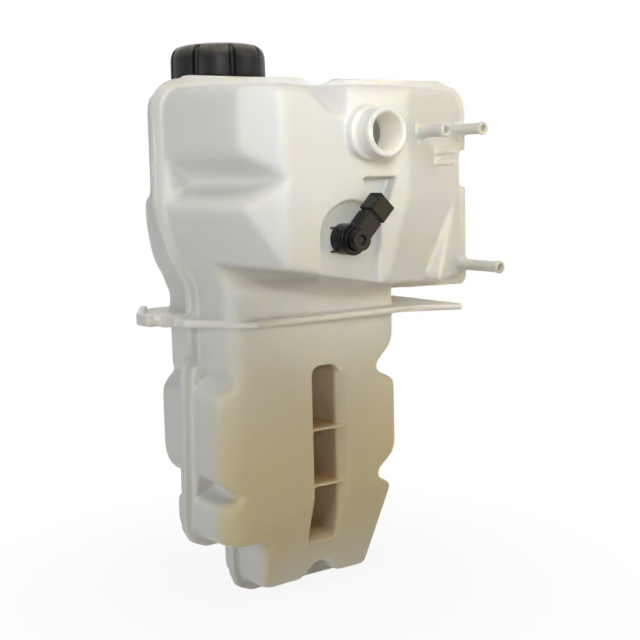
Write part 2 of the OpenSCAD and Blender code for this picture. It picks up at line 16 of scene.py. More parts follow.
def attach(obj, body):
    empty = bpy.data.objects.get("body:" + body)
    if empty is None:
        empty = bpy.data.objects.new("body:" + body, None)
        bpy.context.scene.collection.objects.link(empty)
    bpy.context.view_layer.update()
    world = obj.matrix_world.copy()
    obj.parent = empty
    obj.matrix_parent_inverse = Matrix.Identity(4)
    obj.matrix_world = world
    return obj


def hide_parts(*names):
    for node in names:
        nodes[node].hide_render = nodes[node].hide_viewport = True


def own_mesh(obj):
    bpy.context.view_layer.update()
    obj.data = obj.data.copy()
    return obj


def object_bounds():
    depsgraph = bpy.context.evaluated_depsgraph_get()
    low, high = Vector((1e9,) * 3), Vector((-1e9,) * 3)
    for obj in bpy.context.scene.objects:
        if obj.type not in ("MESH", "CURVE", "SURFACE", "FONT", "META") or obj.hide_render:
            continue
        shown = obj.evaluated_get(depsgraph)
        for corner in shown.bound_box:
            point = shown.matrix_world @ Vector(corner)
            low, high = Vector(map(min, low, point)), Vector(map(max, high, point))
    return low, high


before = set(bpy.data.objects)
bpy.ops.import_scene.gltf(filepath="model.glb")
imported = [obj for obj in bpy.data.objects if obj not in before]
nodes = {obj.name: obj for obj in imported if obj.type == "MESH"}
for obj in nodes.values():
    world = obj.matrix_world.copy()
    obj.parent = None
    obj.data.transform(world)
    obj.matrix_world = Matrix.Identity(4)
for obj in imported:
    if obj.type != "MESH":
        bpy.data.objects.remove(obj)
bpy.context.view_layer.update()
scene = bpy.context.scene
MM = 0.001

# %% [markdown]
# ## Helpers
# The pieces are made in millimetres in the frame of the CAD part, so one helper turns points into
# a mesh in metres. Others round a profile's corners and weld the seams of a mesh.

# %%
# Meshes from points
def add_piece(name, mesh, body=None, stands_for=()):
    piece = bpy.data.objects.new(name, mesh)
    scene.collection.objects.link(piece)
    if body:
        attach(piece, body)
    if stands_for:
        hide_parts(*stands_for)
    print(name, "triangles:", sum(len(p.vertices) - 2 for p in mesh.polygons))
    return piece


def mesh_of(name, points, faces, smooth=True):
    mesh = bpy.data.meshes.new(name)
    mesh.from_pydata([tuple(c * MM for c in p) for p in points], [], faces)
    mesh.validate()
    for polygon in mesh.polygons:
        polygon.use_smooth = smooth
    mesh.update()
    return mesh


def rounded(profile, radius, steps=4):
    """Rounds all corners of an open profile of (r, h) points, apart from its two ends."""
    out = [profile[0]]
    for before, here, after in zip(profile, profile[1:], profile[2:]):
        a, b = np.subtract(before, here), np.subtract(after, here)
        la, lb = np.linalg.norm(a), np.linalg.norm(b)
        reach = min(radius, la * 0.45, lb * 0.45)
        p, q = here + a / la * reach, here + b / lb * reach
        for i in range(steps + 1):
            t = i / steps
            out.append(tuple((1 - t) ** 2 * p + 2 * t * (1 - t) * np.array(here) + t * t * q))
    out.append(profile[-1])
    return out


def tidy(mesh):
    """Welds points that coincide and turns all faces outwards."""
    bm = bmesh.new()
    bm.from_mesh(mesh)
    bmesh.ops.remove_doubles(bm, verts=bm.verts, dist=1e-6)
    bmesh.ops.recalc_face_normals(bm, faces=bm.faces)
    bm.to_mesh(mesh)
    bm.free()


# %% [markdown]
# ## What repeats
# Two node groups make what repeats: one sets copies of a piece round an axis, for the cap's
# lands, and one winds round wire, for the springs. Each is made in place and turned to a mesh.

# %%
# Geometry node groups
def geometry_group(name, sockets):
    group = bpy.data.node_groups.new(name, "GeometryNodeTree")
    for label, kind, direction in sockets:
        group.interface.new_socket(name=label, in_out=direction, socket_type=kind)
    return group, group.nodes.new("NodeGroupInput"), group.nodes.new("NodeGroupOutput")


def round_array_group():
    group, given, result = geometry_group("round_array", [
        ("Geometry", "NodeSocketGeometry", "INPUT"), ("Count", "NodeSocketInt", "INPUT"),
        ("First angle", "NodeSocketFloat", "INPUT"), ("Place", "NodeSocketVector", "INPUT"),
        ("Material", "NodeSocketMaterial", "INPUT"), ("Geometry", "NodeSocketGeometry", "OUTPUT")])
    new, link = group.nodes.new, group.links.new
    points = new("GeometryNodePoints")
    index = new("GeometryNodeInputIndex")
    share = new("ShaderNodeMath")
    share.operation = "DIVIDE"
    angle = new("ShaderNodeMath")
    angle.operation = "MULTIPLY_ADD"
    angle.inputs[1].default_value = 2 * math.pi
    turn = new("FunctionNodeAxisAngleToRotation")
    copies = new("GeometryNodeInstanceOnPoints")
    real = new("GeometryNodeRealizeInstances")
    merge = new("GeometryNodeMergeByDistance")
    merge.inputs["Distance"].default_value = 1e-5
    move = new("GeometryNodeTransform")
    paint = new("GeometryNodeSetMaterial")
    link(given.outputs["Count"], points.inputs["Count"])
    link(index.outputs[0], share.inputs[0])
    link(given.outputs["Count"], share.inputs[1])
    link(share.outputs[0], angle.inputs[0])
    link(given.outputs["First angle"], angle.inputs[2])
    link(angle.outputs[0], turn.inputs["Angle"])
    link(points.outputs[0], copies.inputs["Points"])
    link(given.outputs["Geometry"], copies.inputs["Instance"])
    link(turn.outputs[0], copies.inputs["Rotation"])
    link(copies.outputs[0], real.inputs[0])
    link(real.outputs[0], merge.inputs["Geometry"])
    link(merge.outputs[0], move.inputs["Geometry"])
    link(given.outputs["Place"], move.inputs["Translation"])
    link(move.outputs[0], paint.inputs["Geometry"])
    link(given.outputs["Material"], paint.inputs["Material"])
    link(paint.outputs[0], result.inputs[0])
    return group


def coil_group():
    group, given, result = geometry_group("coil", [
        ("Radius", "NodeSocketFloat", "INPUT"), ("Wire", "NodeSocketFloat", "INPUT"),
        ("Height", "NodeSocketFloat", "INPUT"), ("Turns", "NodeSocketFloat", "INPUT"),
        ("Place", "NodeSocketVector", "INPUT"), ("Material", "NodeSocketMaterial", "INPUT"),
        ("Geometry", "NodeSocketGeometry", "OUTPUT")])
    new, link = group.nodes.new, group.links.new
    spiral = new("GeometryNodeCurveSpiral")
    spiral.inputs["Resolution"].default_value = 40
    wire = new("GeometryNodeCurvePrimitiveCircle")
    wire.inputs["Resolution"].default_value = 12
    sweep = new("GeometryNodeCurveToMesh")
    sweep.inputs["Fill Caps"].default_value = True
    smooth = new("GeometryNodeSetShadeSmooth")
    move = new("GeometryNodeTransform")
    real = new("GeometryNodeRealizeInstances")
    paint = new("GeometryNodeSetMaterial")
    link(given.outputs["Radius"], spiral.inputs["Start Radius"])
    link(given.outputs["Radius"], spiral.inputs["End Radius"])
    link(given.outputs["Height"], spiral.inputs["Height"])
    link(given.outputs["Turns"], spiral.inputs["Rotations"])
    link(given.outputs["Wire"], wire.inputs["Radius"])
    link(spiral.outputs[0], sweep.inputs["Curve"])
    link(wire.outputs[0], sweep.inputs["Profile Curve"])
    link(sweep.outputs[0], smooth.inputs[0])
    link(smooth.outputs[0], move.inputs["Geometry"])
    link(given.outputs["Place"], move.inputs["Translation"])
    link(move.outputs[0], real.inputs[0])
    link(real.outputs[0], paint.inputs["Geometry"])
    link(given.outputs["Material"], paint.inputs["Material"])
    link(paint.outputs[0], result.inputs[0])
    return group


def grown(name, group, values, base=None):
    """Runs a node group on a mesh and keeps the result as a plain mesh."""
    holder = bpy.data.objects.new(name, base or bpy.data.meshes.new(name + "_base"))
    scene.collection.objects.link(holder)
    modifier = holder.modifiers.new("grow", "NODES")
    modifier.node_group = group
    keys = {i.name: i.identifier for i in group.interface.items_tree if i.in_out == "INPUT"}
    for label, value in values.items():
        modifier[keys[label]] = value
    holder.update_tag()
    graph = bpy.context.evaluated_depsgraph_get()
    graph.update()
    out = bpy.data.meshes.new_from_object(holder.evaluated_get(graph))
    bpy.data.objects.remove(holder)
    out.name = name
    return out


round_array = round_array_group()
coil = coil_group()
print("groups:", round_array.name, coil.name)

# %% [markdown]
# ## Moulded shells
# A moulded piece has no sharp edge anywhere, and its big blocks are softer than its flange. The
# CAD piece is sharp, so a copy of it is wrapped in a fine even skin. Each point of the skin then
# moves towards its neighbours, many times where the mould is soft and hardly at all where it is
# crisp. A bevel could not do this, because its width is the same all along an edge.

# %%
# Softening group
def soften_group():
    group, given, result = geometry_group("soften", [
        ("Geometry", "NodeSocketGeometry", "INPUT"), ("Rounds", "NodeSocketInt", "INPUT"),
        ("Material", "NodeSocketMaterial", "INPUT"), ("Geometry", "NodeSocketGeometry", "OUTPUT")])
    new, link = group.nodes.new, group.links.new
    place = new("GeometryNodeInputPosition")
    share = new("GeometryNodeInputNamedAttribute")
    share.data_type = "FLOAT"
    share.inputs["Name"].default_value = "soft"
    blur = new("GeometryNodeBlurAttribute")
    blur.data_type = "FLOAT_VECTOR"
    value = next(i for i in blur.inputs if i.name == "Value" and i.type == "VECTOR")
    move = new("GeometryNodeSetPosition")
    real = new("GeometryNodeRealizeInstances")
    paint = new("GeometryNodeSetMaterial")
    link(place.outputs[0], value)
    link(given.outputs["Rounds"], blur.inputs["Iterations"])
    link(share.outputs["Attribute"], blur.inputs["Weight"])
    link(given.outputs["Geometry"], move.inputs["Geometry"])
    link(next(o for o in blur.outputs if o.type == "VECTOR"), move.inputs["Position"])
    link(move.outputs[0], real.inputs[0])
    link(real.outputs[0], paint.inputs["Geometry"])
    link(given.outputs["Material"], paint.inputs["Material"])
    link(paint.outputs[0], result.inputs[0])
    return group


soften = soften_group()
print("group:", soften.name)

# %% [markdown]
# The skin is made in two steps: first the even wrap, then the softening and the thinning, which
# takes points away where the surface is flat.

# %%
# Moulded copy of a CAD piece
def evaluated_mesh(piece, name):
    graph = bpy.context.evaluated_depsgraph_get()
    graph.update()
    out = bpy.data.meshes.new_from_object(piece.evaluated_get(graph))
    bpy.data.objects.remove(piece)
    out.name = name
    return out


def wrapped(name, node, voxel):
    mesh = nodes[node].data.copy()
    tidy(mesh)
    piece = bpy.data.objects.new(name, mesh)
    scene.collection.objects.link(piece)
    wrap = piece.modifiers.new("wrap", "REMESH")
    wrap.mode = "VOXEL"
    wrap.voxel_size = voxel * MM
    return evaluated_mesh(piece, name)


def moulded(name, node, voxel, reach, softness, budget):
    """reach is how far a fully soft edge is rounded; softness gives 0 to 1 for each point."""
    mesh = wrapped(name, node, voxel)
    points = np.empty(len(mesh.vertices) * 3)
    mesh.vertices.foreach_get("co", points)
    soft = mesh.attributes.new("soft", "FLOAT", "POINT")
    soft.data.foreach_set("value", softness(points.reshape(-1, 3).T / MM))
    piece = bpy.data.objects.new(name, mesh)
    scene.collection.objects.link(piece)
    relax = piece.modifiers.new("relax", "NODES")
    relax.node_group = soften
    keys = {i.name: i.identifier for i in soften.interface.items_tree if i.in_out == "INPUT"}
    relax[keys["Rounds"]] = max(4, round((reach / 2 / voxel) ** 2 / 0.4))
    thin = piece.modifiers.new("thin", "DECIMATE")
    thin.ratio = min(1.0, budget / (2 * len(mesh.polygons)))
    skin = len(mesh.polygons)
    out = evaluated_mesh(piece, name)
    out.attributes.remove(out.attributes["soft"])
    out.polygons.foreach_set("use_smooth", [True] * len(out.polygons))
    print(name, "skin", skin, "kept", len(out.polygons))
    return out


# %% [markdown]
# The softness is read off the photograph: round blocks, a crisp flange and plate, and crisp
# ports, ribs and pads. Each crisp place is named by its middle and its reach.

# %%
# Where the shells are soft
def eased(value, low, high):
    t = np.clip((value - low) / (high - low), 0, 1)
    return t * t * (3 - 2 * t)


def outside_box(x, z, left, right, low, high, blend):
    return eased(np.maximum(np.maximum(left - x, x - right), np.maximum(low - z, z - high)), 0, blend)


CRISP_ROUND = [(-2.5, 172.5, 27), (71, 174, 10), (226, 179.5, 10), (226, 35.5, 12), (134, 150, 13)]
PAD = (-21.0, 81.5, 37.0)
GRAIN_SOFT = 0.012
LEG_CRISP = 0.5


def front_softness(p):
    x, y, z = p
    soft = eased(-y, 7, 17) * eased(np.abs(z - 3), 6, 14)
    for cx, cz, reach in CRISP_ROUND:
        soft *= eased(np.hypot(x - cx, z - cz), reach, reach + 9)
    deep = outside_box(x, z, -6, 40, -232, -42, 5)
    pad = eased(np.hypot(x - PAD[0], z - PAD[1]), PAD[2], PAD[2] + 6)
    pocket = outside_box(x, z, -10, 34, 110, 137, 4)
    near_face = eased(-y, 120, 132)
    soft *= 0.03 + 0.97 * deep
    soft *= 1 - near_face * (1 - pad * pocket * outside_box(x, z, -56, 12, 20, 82, 6))
    soft *= 1 - LEG_CRISP * eased(-z, 0, 20)
    return np.maximum(soft, GRAIN_SOFT)


def back_softness(p):
    x, y, z = p
    soft = eased(y, 7, 17) * eased(np.abs(z - 3), 8, 16)
    neck = eased(np.hypot(x + 37, y - 40), 44, 56)
    soft *= 1 - (1 - neck) * eased(z, 205, 212)
    soft *= 1 - LEG_CRISP * eased(-z, 0, 20)
    return np.maximum(soft, GRAIN_SOFT)


SHELL_REACH = 12.5
front_mesh = moulded("front_shell_moulded", "front_shell", 1.2, SHELL_REACH,
                     front_softness, 190000)
back_mesh = moulded("back_shell_moulded", "back_shell", 1.3, SHELL_REACH,
                    back_softness, 160000)
front = add_piece("front_moulded", front_mesh, "tank", ("front_shell",))
back = add_piece("back_moulded", back_mesh, "tank", ("back_shell",))

# %% [markdown]
# ## Materials
# All plastics share one group for the mould's fine grain and slow unevenness. The blacks share
# a second one for dust and a painted highlight, both lying on what faces up.

# %%
# Shader groups
def shader_group(name, sockets):
    group = bpy.data.node_groups.new(name, "ShaderNodeTree")
    for label, kind, direction, value in sockets:
        socket = group.interface.new_socket(name=label, in_out=direction, socket_type=kind)
        if value is not None:
            socket.default_value = value
    return group, group.nodes.new("NodeGroupInput"), group.nodes.new("NodeGroupOutput")


def grain_group():
    group, given, result = shader_group("mould_grain", [
        ("Grain", "NodeSocketFloat", "INPUT", 900.0), ("Grain depth", "NodeSocketFloat", "INPUT", 0.05),
        ("Wave", "NodeSocketFloat", "INPUT", 14.0), ("Wave depth", "NodeSocketFloat", "INPUT", 0.1),
        ("Normal", "NodeSocketVector", "OUTPUT", None), ("Cloud", "NodeSocketFloat", "OUTPUT", None)])
    new, link = group.nodes.new, group.links.new
    place = new("ShaderNodeTexCoord")
    fine = new("ShaderNodeTexNoise")
    fine.inputs["Detail"].default_value = 2
    slow = new("ShaderNodeTexNoise")
    slow.inputs["Detail"].default_value = 3
    low = new("ShaderNodeBump")
    low.inputs["Distance"].default_value = 0.004
    high = new("ShaderNodeBump")
    high.inputs["Distance"].default_value = 0.0003
    link(place.outputs["Object"], fine.inputs["Vector"])
    link(place.outputs["Object"], slow.inputs["Vector"])
    link(given.outputs["Grain"], fine.inputs["Scale"])
    link(given.outputs["Wave"], slow.inputs["Scale"])
    link(given.outputs["Wave depth"], low.inputs["Strength"])
    link(given.outputs["Grain depth"], high.inputs["Strength"])
    link(slow.outputs["Fac"], low.inputs["Height"])
    link(fine.outputs["Fac"], high.inputs["Height"])
    link(low.outputs[0], high.inputs["Normal"])
    link(high.outputs[0], result.inputs["Normal"])
    link(slow.outputs["Fac"], result.inputs["Cloud"])
    return group


def dust_and_highlight_group():
    group, given, result = shader_group("dust_and_highlight", [
        ("Color", "NodeSocketColor", "INPUT", None), ("Dust and highlight", "NodeSocketColor", "INPUT", None),
        ("Amount", "NodeSocketFloat", "INPUT", 0.3), ("Color", "NodeSocketColor", "OUTPUT", None)])
    new, link = group.nodes.new, group.links.new
    place = new("ShaderNodeTexCoord")
    patch = new("ShaderNodeTexNoise")
    patch.inputs["Scale"].default_value = 160
    patch.inputs["Detail"].default_value = 4
    facing = new("ShaderNodeSeparateXYZ")
    geometry = new("ShaderNodeNewGeometry")
    # Lighter where the surface faces up: dust, and on the cap mostly a painted highlight
    up = new("ShaderNodeMapRange")
    up.inputs["From Min"].default_value = 0.1
    up.inputs["From Max"].default_value = 1.0
    both = new("ShaderNodeMath")
    both.operation = "MULTIPLY"
    share = new("ShaderNodeMath")
    share.operation = "MULTIPLY"
    mix = new("ShaderNodeMix")
    mix.data_type = "RGBA"
    link(place.outputs["Object"], patch.inputs["Vector"])
    link(geometry.outputs["Normal"], facing.inputs[0])
    link(facing.outputs["Z"], up.inputs["Value"])
    link(up.outputs[0], both.inputs[0])
    link(patch.outputs["Fac"], both.inputs[1])
    link(both.outputs[0], share.inputs[0])
    link(given.outputs["Amount"], share.inputs[1])
    link(share.outputs[0], mix.inputs["Factor"])
    link(given.outputs["Color"], mix.inputs["A"])
    link(given.outputs["Dust and highlight"], mix.inputs["B"])
    link(mix.outputs["Result"], result.inputs[0])
    return group


grain = grain_group()
dust_and_highlight = dust_and_highlight_group()
print("shader groups:", grain.name, dust_and_highlight.name)

# %% [markdown]
# Each material starts from the same plain surface shader. Constants are set on its sockets, and
# only what varies over the surface is wired.

# %%
# Materials
def surface(name, color, roughness, **more):
    material = bpy.data.materials.new(name)
    material.use_nodes = True
    tree = material.node_tree
    shader = tree.nodes["Principled BSDF"]
    shader.inputs["Base Color"].default_value = (*color, 1)
    shader.inputs["Roughness"].default_value = roughness
    for label, value in more.items():
        shader.inputs[label.replace("_", " ")].default_value = value
    return material, tree, shader


def use_grain(tree, shader, size, depth, wave, wave_depth):
    node = tree.nodes.new("ShaderNodeGroup")
    node.node_tree = grain
    for label, value in (("Grain", size), ("Grain depth", depth),
                         ("Wave", wave), ("Wave depth", wave_depth)):
        node.inputs[label].default_value = value
    tree.links.new(node.outputs["Normal"], shader.inputs["Normal"])
    return node


def clouded(tree, shader, node, dark, light):
    ramp = tree.nodes.new("ShaderNodeMapRange")
    ramp.inputs["From Min"].default_value = 0.3
    ramp.inputs["From Max"].default_value = 0.7
    mix = tree.nodes.new("ShaderNodeMix")
    mix.data_type = "RGBA"
    mix.inputs["A"].default_value = (*dark, 1)
    mix.inputs["B"].default_value = (*light, 1)
    tree.links.new(node.outputs["Cloud"], ramp.inputs["Value"])
    tree.links.new(ramp.outputs[0], mix.inputs["Factor"])
    tree.links.new(mix.outputs["Result"], shader.inputs["Base Color"])
    return mix


# Where painted shade or a painted glow lies: each ramp runs along one axis, from none to full, in
# millimetres
LEG_FRONT_PAINTED_SHADE = [("Z", 40, -150), ("Y", -30, -55)]
SLOT_PAINTED_SHADE = [("X", -5.5, -3), ("X", 28.5, 25), ("Z", -40, -50), ("Z", -232, -210),
        ("Y", -58, -48), ("Y", 12, 4)]
BAFFLE = [("X", 40, 50), ("X", 100, 90), ("Y", -110, -100), ("Y", -50, -60),
          ("Z", 150, 160), ("Z", 200, 195)]
PORT = (-2.5, 172.5)
PORT_BACK = [("Y", -130, -140)]
BORE_EDGE = (17.2, 16.6)
BORE_PAINTED_GLOW = 0.20
BAFFLE_PAINTED_GLOW = 0.28


def ivory_material():
    material, tree, shader = surface("natural plastic", (0.80, 0.77, 0.66), 0.42)
    shader.inputs["Subsurface Weight"].default_value = 0.5
    shader.inputs["Subsurface Radius"].default_value = (1.0, 0.75, 0.4)
    shader.inputs["Subsurface Scale"].default_value = 0.008
    node = use_grain(tree, shader, 700, 0.12, 9, 0.10)
    base_tone = clouded(tree, shader, node, (0.79, 0.775, 0.74), (0.83, 0.815, 0.785))
    # Painted warm shade: the leg's front turns darker and warmer towards the bottom
    leg_front_painted_shade = painted_shade_mix(tree, base_tone, (0.79, 0.69, 0.45), LEG_FRONT_PAINTED_SHADE)
    # Painted shade inside the slot's recess
    slot_painted_shade = painted_shade_mix(tree, leg_front_painted_shade, (0.60, 0.46, 0.27), SLOT_PAINTED_SHADE)
    tree.links.new(slot_painted_shade.outputs["Result"], shader.inputs["Base Color"])
    # Painted glow in the port's bore and on the baffle behind it
    painted_glow_inside(tree, shader)
    return material


def painted_glow_inside(tree, shader):
    """Painted glow: emission that stands in for light the wall lets through, in the port's bore and on
    the baffle seen through it.
    """
    new, link = tree.nodes.new, tree.links.new
    baffle = place_mask(tree, BAFFLE)
    place = new("ShaderNodeTexCoord")
    flat = new("ShaderNodeVectorMath")
    flat.operation = "MULTIPLY_ADD"
    flat.inputs[1].default_value = (1, 0, 1)
    flat.inputs[2].default_value = (PORT[0] * -MM, 0, PORT[1] * -MM)
    radius = new("ShaderNodeVectorMath")
    radius.operation = "LENGTH"
    bore = new("ShaderNodeMapRange")
    bore.inputs["From Min"].default_value = BORE_EDGE[0] * MM
    bore.inputs["From Max"].default_value = BORE_EDGE[1] * MM
    front = place_mask(tree, PORT_BACK)
    both = new("ShaderNodeMath")
    both.operation = "MULTIPLY"
    weaker = new("ShaderNodeMath")
    weaker.operation = "MULTIPLY"
    weaker.inputs[1].default_value = BORE_PAINTED_GLOW
    total = new("ShaderNodeMath")
    total.operation = "MULTIPLY_ADD"
    total.inputs[1].default_value = BAFFLE_PAINTED_GLOW
    # Colour of the painted glow
    shader.inputs["Emission Color"].default_value = (0.60, 0.55, 0.43, 1)
    link(place.outputs["Object"], flat.inputs[0])
    link(flat.outputs[0], radius.inputs[0])
    link(radius.outputs["Value"], bore.inputs["Value"])
    link(bore.outputs[0], both.inputs[0])
    link(front, both.inputs[1])
    link(both.outputs[0], weaker.inputs[0])
    link(baffle, total.inputs[0])
    link(weaker.outputs[0], total.inputs[2])
    link(total.outputs[0], shader.inputs["Emission Strength"])


def place_mask(tree, ramps):
    """Product of smooth ramps, each along one axis of the piece's own coordinates."""
    new, link = tree.nodes.new, tree.links.new
    place = new("ShaderNodeTexCoord")
    axes = new("ShaderNodeSeparateXYZ")
    link(place.outputs["Object"], axes.inputs[0])
    product = None
    for axis, start, full in ramps:
        ramp = new("ShaderNodeMapRange")
        ramp.interpolation_type = "SMOOTHSTEP"
        ramp.inputs["From Min"].default_value = start * MM
        ramp.inputs["From Max"].default_value = full * MM
        link(axes.outputs[axis], ramp.inputs["Value"])
        if product is None:
            product = ramp.outputs[0]
            continue
        both = new("ShaderNodeMath")
        both.operation = "MULTIPLY"
        link(product, both.inputs[0])
        link(ramp.outputs[0], both.inputs[1])
        product = both.outputs[0]
    return product


def painted_shade_mix(tree, base_tone, color, ramps):
    mix = tree.nodes.new("ShaderNodeMix")
    mix.data_type = "RGBA"
    mix.inputs["B"].default_value = (*color, 1)
    tree.links.new(place_mask(tree, ramps), mix.inputs["Factor"])
    tree.links.new(base_tone.outputs["Result"], mix.inputs["A"])
    return mix


def black_material(name, color, roughness, size, depth, amount, shine):
    material, tree, shader = surface(name, color, roughness)
    shader.inputs["Specular IOR Level"].default_value = shine
    use_grain(tree, shader, size, depth, 40, 0.03)
    node = tree.nodes.new("ShaderNodeGroup")
    node.node_tree = dust_and_highlight
    node.inputs["Color"].default_value = (*color, 1)
    node.inputs["Dust and highlight"].default_value = (0.45, 0.40, 0.33, 1)
    node.inputs["Amount"].default_value = amount
    tree.links.new(node.outputs["Color"], shader.inputs["Base Color"])
    return material


def plain_material(name, dark, light, roughness, **more):
    material, tree, shader = surface(name, light, roughness, **more)
    node = use_grain(tree, shader, 1200, 0.1, 90, 0.05)
    clouded(tree, shader, node, dark, light)
    return material


ivory = ivory_material()
# On the cap the upward lightening is mostly a painted highlight on the top; on the sensor it is a
# little dust
cap_black = black_material("cap plastic", (0.006, 0.006, 0.008), 0.36, 900, 0.25, 0.8, 0.2)
sensor_black = black_material("sensor plastic", (0.004, 0.004, 0.005), 0.20, 1500, 0.05, 0.06, 0.16)
rubber = plain_material("rubber", (0.012, 0.012, 0.012), (0.03, 0.03, 0.03), 0.7)
steel = plain_material("steel", (0.5, 0.5, 0.52), (0.68, 0.68, 0.7), 0.28, Metallic=1.0)
wire_black = plain_material("blackened wire", (0.02, 0.02, 0.022), (0.05, 0.05, 0.05), 0.35,
                            Metallic=0.6)
brass = plain_material("brass", (0.62, 0.44, 0.16), (0.78, 0.6, 0.28), 0.3, Metallic=1.0)
glass = plain_material("switch glass", (0.30, 0.42, 0.36), (0.5, 0.6, 0.54), 0.08)
foam = plain_material("float plastic", (0.55, 0.27, 0.05), (0.72, 0.38, 0.09), 0.5)
print("materials:", len(bpy.data.materials))

for mesh in (front.data, back.data):
    mesh.materials.clear()
    mesh.materials.append(ivory)

# %% [markdown]
# ## Screw cap
# A moulded cap with a domed top and eight flat lands, parted by narrow grooves that run out on
# the shoulder. One eighth of it is swept from its profile, and the round array repeats it.

# %%
# Cap
CAP = (-37.0, 40.0, 231.0)
LANDS = 8
FIRST_GROOVE = 32
GROOVE_HALF_ANGLE = 0.066
GROOVE_DEPTH = 3.6
SHOULDER = 31.2


def cap_sector(count):
    outer = rounded([(35.4, 0.0), (45.2, 0.0), (46.0, 1.2), (45.7, 20), (43.6, 26.6), (38.6, 30.6),
                     (30.0, 32.5), (16.0, 33.4), (0.0, 33.5)], 5.0, 4)
    inner = [(0.0, 29.6), (26.0, 29.6), (26.0, 27.2), (24.3, 27.2), (24.3, 26.2), (35.4, 26.2),
             (35.4, 0.0)]
    profile = outer + inner
    half = math.pi / count
    width = GROOVE_HALF_ANGLE
    spread = sorted({round(t, 5) for t in
                     [-half + 2 * half * i / 14 for i in range(15)]
                     + [width * (i / 6 - 1) * 1.35 for i in range(13)]})
    points, faces = [], []
    for angle in spread:
        dip = max(0.0, 1 - (abs(angle) / width) ** 2) ** 0.5 if abs(angle) < width else 0.0
        for i, (r, z) in enumerate(profile):
            reach = r
            if i < len(outer) and r > 36:
                fade = min(1.0, max(0.0, (SHOULDER - z) / 4.0))
                fade = fade * fade * (3 - 2 * fade)
                reach = r - dip * GROOVE_DEPTH * fade
            points.append((reach * math.cos(angle), reach * math.sin(angle), z))
    n = len(profile)
    for a in range(len(spread) - 1):
        for i in range(n - 1):
            faces.append((a * n + i, (a + 1) * n + i, (a + 1) * n + i + 1, a * n + i + 1))
    return mesh_of("cap_sector", points, faces)


cap_mesh = grown("cap_moulded", round_array, {
    "Count": LANDS, "First angle": math.radians(FIRST_GROOVE), "Place": tuple(c * MM for c in CAP),
    "Material": cap_black}, cap_sector(LANDS))
tidy(cap_mesh)
for polygon in cap_mesh.polygons:
    polygon.use_smooth = True
cap_mesh.set_sharp_from_angle(angle=math.radians(50))
cap = add_piece("cap_moulded", cap_mesh, "cap", ("cap_grip",))

# %% [markdown]
# ## Springs
# Round wire wound by the coil group, standing on the valve plate.

# %%
# Springs
def spring(name, radius, wire, low, high, turns, body):
    mesh = grown(name, coil, {
        "Radius": radius * MM, "Wire": wire * MM, "Height": (high - low - 2 * wire) * MM,
        "Turns": turns, "Place": (CAP[0] * MM, CAP[1] * MM, (low + wire) * MM), "Material": steel})
    piece = add_piece(name, mesh, body, (name.replace("_wound", ""),))
    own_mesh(piece)


spring("pressure_spring_wound", 15, 1.0, 234.8, 254.8, 4.0, "cap_insert")
spring("vacuum_spring_wound", 3.1, 0.5, 236.8, 245.0, 5.0, "pressure_valve")

# %% [markdown]
# ## Level sensor
# Two mouldings in gloss black: the housing with its arm gets the same soft edges as the tank, at
# a finer size.

# %%
# Sensor
def even_softness(p):
    return np.full(p.shape[1], 0.3)


sensor_mesh = moulded("sensor_moulded", "sensor_housing", 0.45, 1.6,
                      even_softness, 90000)
sensor_mesh.materials.clear()
sensor_mesh.materials.append(sensor_black)
sensor = add_piece("sensor_moulded", sensor_mesh, "tank", ("sensor_housing",))

# %% [markdown]
# ## CAD pieces that stay
# The other pieces are turned or stamped, so the CAD shape is right as it is. They only get their
# materials and smooth shading.

# %%
# Paint the rest
paint = {"valve_housing": cap_black, "spring_plate": cap_black, "housing_oring": rubber,
         "neck_gasket": rubber, "pressure_seal": rubber, "sensor_oring": rubber,
         "pressure_plate": steel, "vacuum_poppet": steel, "vacuum_clip": steel,
         "float_magnet": steel, "float_pin": steel, "sensor_clip": wire_black,
         "terminal_left": brass, "terminal_right": brass, "reed_switch": glass, "float_arm": foam}
for name, material in paint.items():
    mesh = nodes[name].data
    mesh.materials.clear()
    mesh.materials.append(material)
    for polygon in mesh.polygons:
        polygon.use_smooth = True
    mesh.set_sharp_from_angle(angle=math.radians(35))
print("painted:", len(paint))

# %% [markdown]
# ## Studio
# A pale floor and a pale room. A warm key light from the front right, a cooler one from the left
# and a soft top light give the photograph's shading.

# %%
# Floor, room and lights
def floor_material():
    """White to the camera, with the shadow kept near the object; plain pale for bounced light."""
    material, tree, shader = surface("pale floor", (0.90, 0.90, 0.90), 0.9)
    new, link = tree.nodes.new, tree.links.new
    white = new("ShaderNodeEmission")
    path = new("ShaderNodeLightPath")
    seen = new("ShaderNodeMath")
    seen.operation = "MAXIMUM"
    both = new("ShaderNodeMath")
    both.operation = "MAXIMUM"
    place = new("ShaderNodeTexCoord")
    reach = new("ShaderNodeVectorMath")
    reach.operation = "LENGTH"
    fade = new("ShaderNodeMapRange")
    fade.interpolation_type = "SMOOTHSTEP"
    for label, value in (("From Min", 0.15), ("From Max", 0.50), ("To Min", 0.86), ("To Max", 1.0)):
        fade.inputs[label].default_value = value
    share = new("ShaderNodeMath")
    share.operation = "MULTIPLY"
    mix = new("ShaderNodeMixShader")
    link(path.outputs["Is Camera Ray"], seen.inputs[0])
    link(path.outputs["Is Glossy Ray"], seen.inputs[1])
    link(seen.outputs[0], both.inputs[0])
    link(path.outputs["Is Transmission Ray"], both.inputs[1])
    link(place.outputs["Object"], reach.inputs[0])
    link(reach.outputs["Value"], fade.inputs["Value"])
    link(fade.outputs[0], share.inputs[0])
    link(both.outputs[0], share.inputs[1])
    link(share.outputs[0], mix.inputs["Fac"])
    link(shader.outputs[0], mix.inputs[1])
    link(white.outputs[0], mix.inputs[2])
    link(mix.outputs[0], tree.nodes["Material Output"].inputs["Surface"])
    return material


